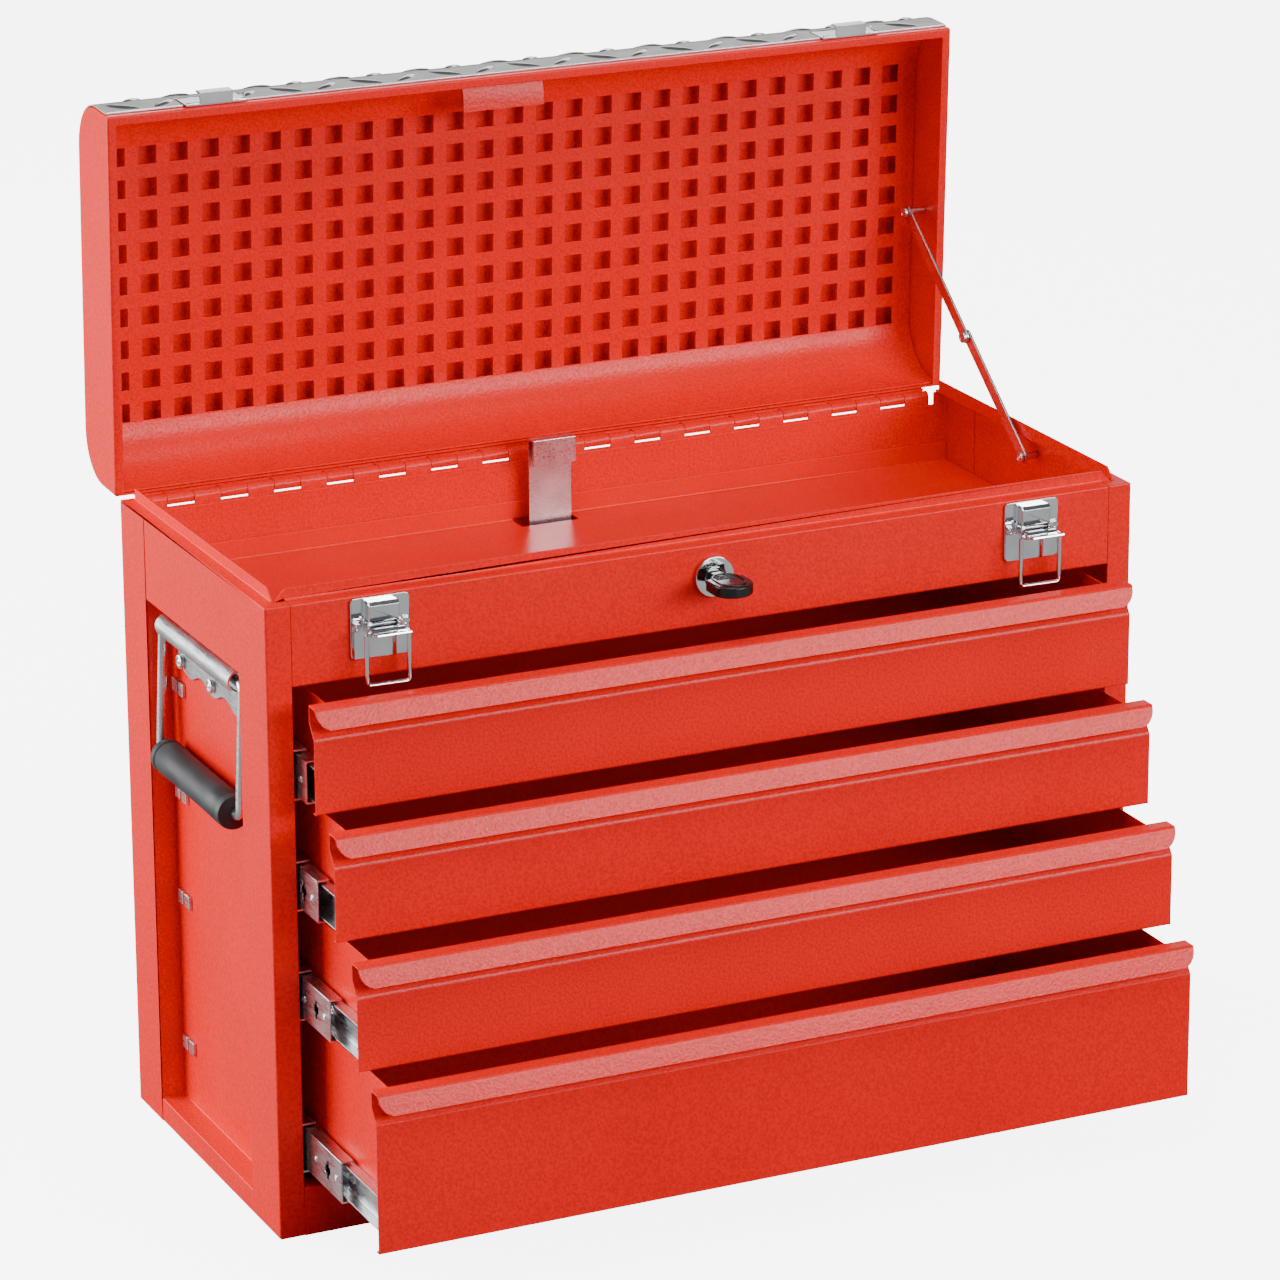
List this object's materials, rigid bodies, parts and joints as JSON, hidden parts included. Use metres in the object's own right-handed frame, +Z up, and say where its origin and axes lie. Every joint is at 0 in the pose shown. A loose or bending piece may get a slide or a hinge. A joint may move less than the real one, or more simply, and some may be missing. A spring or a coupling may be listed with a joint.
{
  "type": "toolbox with tray",
  "caption": "Steel tool chest: sliding drawers under a top tray, with a hinged lid lined by a perforated panel, toggle latches, a key lock and fold-down side handles.",
  "frame": {"origin": "centre of the base underside, below the middle of the closed casing", "axes": "+X to the viewer's right along the front, +Y from the front to the back, +Z up"},
  "size_m": [0.601, 0.4315, 0.6572],
  "materials": {
    "powder_coated_steel": "textured semi-gloss powder coat",
    "zinc_plated_steel": "bright zinc plating",
    "chromed_steel": "polished",
    "aluminium_tread_plate": "bright, with raised lozenges",
    "rubber": "matt",
    "black_plastic": "gloss"
  },
  "bodies": {
    "casing": {"left_side_panel": "powder_coated_steel", "right_side_panel": "powder_coated_steel", "back_panel": "powder_coated_steel", "base_panel": "powder_coated_steel", "front_fascia": "powder_coated_steel", "tray_floor": "powder_coated_steel", "hinge_body_leaf": "powder_coated_steel", "hinge_pin": "zinc_plated_steel", "slide_outer_left_1": "zinc_plated_steel", "slide_outer_right_1": "zinc_plated_steel", "slide_outer_left_2": "zinc_plated_steel", "slide_outer_right_2": "zinc_plated_steel", "slide_outer_left_3": "zinc_plated_steel", "slide_outer_right_3": "zinc_plated_steel", "slide_outer_left_4": "zinc_plated_steel", "slide_outer_right_4": "zinc_plated_steel", "left_latch_plate": "chromed_steel", "right_latch_plate": "chromed_steel", "lock_housing": "chromed_steel", "left_handle_bracket": "zinc_plated_steel", "right_handle_bracket": "zinc_plated_steel"},
    "lid": {"lid_shell": "powder_coated_steel", "perforated_panel": "powder_coated_steel", "tread_plate": "aluminium_tread_plate", "hinge_lid_leaf": "powder_coated_steel", "left_strike": "chromed_steel", "right_strike": "chromed_steel"},
    "stay_lower": {"stay_lower_link": "zinc_plated_steel"},
    "stay_upper": {"stay_upper_link": "zinc_plated_steel"},
    "drawer_1": {"drawer_1": "powder_coated_steel", "slide_inner_left_1": "zinc_plated_steel", "slide_inner_right_1": "zinc_plated_steel"},
    "slides_1": {"slide_middle_left_1": "zinc_plated_steel", "slide_middle_right_1": "zinc_plated_steel"},
    "drawer_2": {"drawer_2": "powder_coated_steel", "slide_inner_left_2": "zinc_plated_steel", "slide_inner_right_2": "zinc_plated_steel"},
    "slides_2": {"slide_middle_left_2": "zinc_plated_steel", "slide_middle_right_2": "zinc_plated_steel"},
    "drawer_3": {"drawer_3": "powder_coated_steel", "slide_inner_left_3": "zinc_plated_steel", "slide_inner_right_3": "zinc_plated_steel"},
    "slides_3": {"slide_middle_left_3": "zinc_plated_steel", "slide_middle_right_3": "zinc_plated_steel"},
    "drawer_4": {"drawer_4": "powder_coated_steel", "slide_inner_left_4": "zinc_plated_steel", "slide_inner_right_4": "zinc_plated_steel"},
    "slides_4": {"slide_middle_left_4": "zinc_plated_steel", "slide_middle_right_4": "zinc_plated_steel"},
    "left_lever": {"left_latch_lever": "chromed_steel"},
    "left_bail": {"left_latch_bail": "chromed_steel"},
    "left_handle": {"left_handle_bail": "zinc_plated_steel", "left_handle_grip": "rubber"},
    "right_lever": {"right_latch_lever": "chromed_steel"},
    "right_bail": {"right_latch_bail": "chromed_steel"},
    "right_handle": {"right_handle_bail": "zinc_plated_steel", "right_handle_grip": "rubber"},
    "lock": {"lock_plug": "chromed_steel", "key": "black_plastic"},
    "locking_bar": {"locking_bar": "zinc_plated_steel"}
  },
  "joints": [
    {"name": "lid_hinge", "type": "hinge", "parent": "casing", "child": "lid", "pos_m": [0, 0.1265, 0.399], "axis": [1, 0, 0], "range_deg": [0, 88]},
    {"name": "stay_lower_pivot", "type": "hinge", "parent": "casing", "child": "stay_lower", "pos_m": [0.2815, -0.004, 0.391], "axis": [1, 0, 0], "range_deg": [-51.2, 0.1]},
    {"name": "stay_upper_pivot", "type": "hinge", "parent": "lid", "child": "stay_upper", "pos_m": [0.2815, 0.15534, 0.51858], "axis": [1, 0, 0], "range_deg": [-0.1, 17.1]},
    {"name": "drawer_1_slide", "type": "slide", "parent": "casing", "child": "drawer_1", "axis": [0, -1, 0], "range_m": [-0.031, 0.159]},
    {"name": "slides_1_slide", "type": "slide", "parent": "casing", "child": "slides_1", "axis": [0, -1, 0], "range_m": [-0.0156, 0.0796]},
    {"name": "drawer_2_slide", "type": "slide", "parent": "casing", "child": "drawer_2", "axis": [0, -1, 0], "range_m": [-0.059, 0.131]},
    {"name": "slides_2_slide", "type": "slide", "parent": "casing", "child": "slides_2", "axis": [0, -1, 0], "range_m": [-0.0296, 0.0656]},
    {"name": "drawer_3_slide", "type": "slide", "parent": "casing", "child": "drawer_3", "axis": [0, -1, 0], "range_m": [-0.09, 0.1]},
    {"name": "slides_3_slide", "type": "slide", "parent": "casing", "child": "slides_3", "axis": [0, -1, 0], "range_m": [-0.0451, 0.0501]},
    {"name": "drawer_4_slide", "type": "slide", "parent": "casing", "child": "drawer_4", "axis": [0, -1, 0], "range_m": [-0.116, 0.074]},
    {"name": "slides_4_slide", "type": "slide", "parent": "casing", "child": "slides_4", "axis": [0, -1, 0], "range_m": [-0.0581, 0.0371]},
    {"name": "left_lever_pivot", "type": "hinge", "parent": "casing", "child": "left_lever", "pos_m": [-0.22, -0.128, 0.385], "axis": [1, 0, 0], "range_deg": [0, 80]},
    {"name": "left_bail_pivot", "type": "hinge", "parent": "left_lever", "child": "left_bail", "pos_m": [-0.22, -0.13588, 0.38361], "axis": [1, 0, 0], "range_deg": [-260.1, 0.1]},
    {"name": "left_handle_pivot", "type": "hinge", "parent": "casing", "child": "left_handle", "pos_m": [-0.2855, 0.003, 0.338], "axis": [0, 1, 0], "range_deg": [0, 100]},
    {"name": "right_lever_pivot", "type": "hinge", "parent": "casing", "child": "right_lever", "pos_m": [0.22, -0.128, 0.385], "axis": [1, 0, 0], "range_deg": [0, 80]},
    {"name": "right_bail_pivot", "type": "hinge", "parent": "right_lever", "child": "right_bail", "pos_m": [0.22, -0.13588, 0.38361], "axis": [1, 0, 0], "range_deg": [-260.1, 0.1]},
    {"name": "right_handle_pivot", "type": "hinge", "parent": "casing", "child": "right_handle", "pos_m": [0.2855, 0.003, 0.338], "axis": [0, 1, 0], "range_deg": [-100, 0]},
    {"name": "lock_turn", "type": "hinge", "parent": "casing", "child": "lock", "pos_m": [0, -0.1225, 0.3835], "axis": [0, 1, 0], "range_deg": [0, 90]},
    {"name": "locking_bar_slide", "type": "slide", "parent": "casing", "child": "locking_bar", "axis": [0, 0, 1], "range_m": [-0.012, 0], "stiffness_N_per_m": 200, "springref_m": 0.02}
  ],
  "couplings": [
    {"joint": "stay_lower_pivot", "follows": "lid_hinge", "ratio": -0.58069},
    {"joint": "stay_upper_pivot", "follows": "lid_hinge", "ratio": 0.19297},
    {"joint": "slides_1_slide", "follows": "drawer_1_slide", "ratio": 0.5},
    {"joint": "slides_2_slide", "follows": "drawer_2_slide", "ratio": 0.5},
    {"joint": "slides_3_slide", "follows": "drawer_3_slide", "ratio": 0.5},
    {"joint": "slides_4_slide", "follows": "drawer_4_slide", "ratio": 0.5},
    {"joint": "left_bail_pivot", "follows": "left_lever_pivot", "ratio": -3.25},
    {"joint": "right_bail_pivot", "follows": "right_lever_pivot", "ratio": -3.25}
  ]
}
